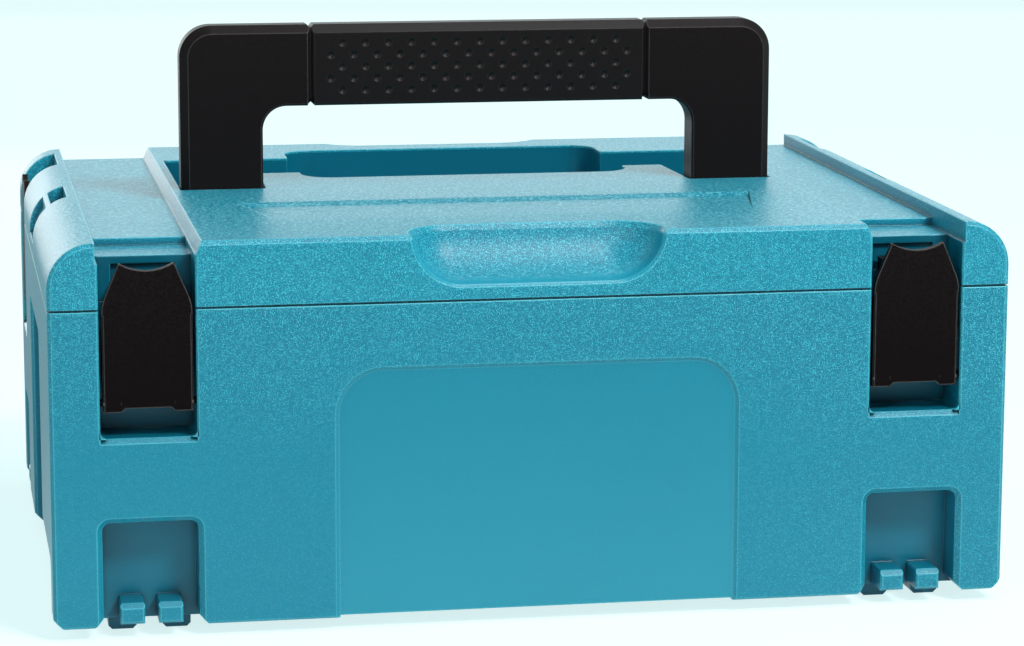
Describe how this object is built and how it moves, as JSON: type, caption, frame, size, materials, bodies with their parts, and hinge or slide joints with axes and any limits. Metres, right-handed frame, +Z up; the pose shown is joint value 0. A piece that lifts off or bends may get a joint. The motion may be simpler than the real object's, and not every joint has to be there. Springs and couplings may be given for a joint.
{
  "type": "hard tool case",
  "caption": "Hard plastic tool case with a hinged lid, sliding snap latches, a folding carrying handle, and channels, feet and prongs that lock stacked cases together.",
  "frame": {"origin": "under the middle of the case's footprint, on the plane its feet stand on", "axes": "+X to the right seen from the front, +Y from the latched front to the hinged rear, +Z up"},
  "size_m": [0.396, 0.296, 0.2333],
  "materials": {
    "body": "teal plastic with a fine moulded grain",
    "trim": "satin black plastic",
    "grip": "soft black grip with rows of dimples",
    "steel": "plain drawn steel"
  },
  "bodies": {
    "base": {"base_shell": "body", "hinge_rod_left": "steel", "hinge_rod_right": "steel"},
    "lid": {"lid_shell": "body", "handle_pin_left": "steel", "handle_pin_right": "steel"},
    "handle": {"handle_front": "trim", "handle_rear": "trim", "handle_grip": "grip"},
    "slider_front_left": {"latch_pin_front_left": "trim"},
    "slider_front_right": {"latch_pin_front_right": "trim"},
    "slider_side_left": {"latch_pin_side_left": "trim"},
    "slider_side_right": {"latch_pin_side_right": "trim"},
    "front_latch_left": {"latch_front_left": "trim"},
    "front_latch_right": {"latch_front_right": "trim"},
    "side_latch_left": {"latch_side_left": "trim"},
    "side_latch_right": {"latch_side_right": "trim"}
  },
  "joints": [
    {"name": "lid_hinge", "type": "hinge", "parent": "base", "child": "lid", "pos_m": [0, 0.1444, 0.135], "axis": [-1, 0, 0], "range_deg": [0, 105]},
    {"name": "handle_fold", "type": "hinge", "parent": "lid", "child": "handle", "pos_m": [0, 0.008, 0.1512], "axis": [-1, 0, 0], "range_deg": [0, 90]},
    {"name": "latch_front_left_lift", "type": "slide", "parent": "base", "child": "slider_front_left", "axis": [0, 0, 1], "range_m": [0, 0.018]},
    {"name": "latch_front_right_lift", "type": "slide", "parent": "base", "child": "slider_front_right", "axis": [0, 0, 1], "range_m": [0, 0.018]},
    {"name": "latch_side_left_lift", "type": "slide", "parent": "base", "child": "slider_side_left", "axis": [0, 0, 1], "range_m": [0, 0.018]},
    {"name": "latch_side_right_lift", "type": "slide", "parent": "base", "child": "slider_side_right", "axis": [0, 0, 1], "range_m": [0, 0.018]},
    {"name": "latch_front_left_swing", "type": "hinge", "parent": "slider_front_left", "child": "front_latch_left", "pos_m": [-0.1585, -0.144, 0.097], "axis": [1, 0, 0], "range_deg": [0, 95]},
    {"name": "latch_front_right_swing", "type": "hinge", "parent": "slider_front_right", "child": "front_latch_right", "pos_m": [0.1585, -0.144, 0.097], "axis": [1, 0, 0], "range_deg": [0, 95]},
    {"name": "latch_side_left_swing", "type": "hinge", "parent": "slider_side_left", "child": "side_latch_left", "pos_m": [-0.194, 0.112, 0.097], "axis": [0, -1, 0], "range_deg": [0, 95]},
    {"name": "latch_side_right_swing", "type": "hinge", "parent": "slider_side_right", "child": "side_latch_right", "pos_m": [0.194, 0.112, 0.097], "axis": [0, 1, 0], "range_deg": [0, 95]}
  ]
}
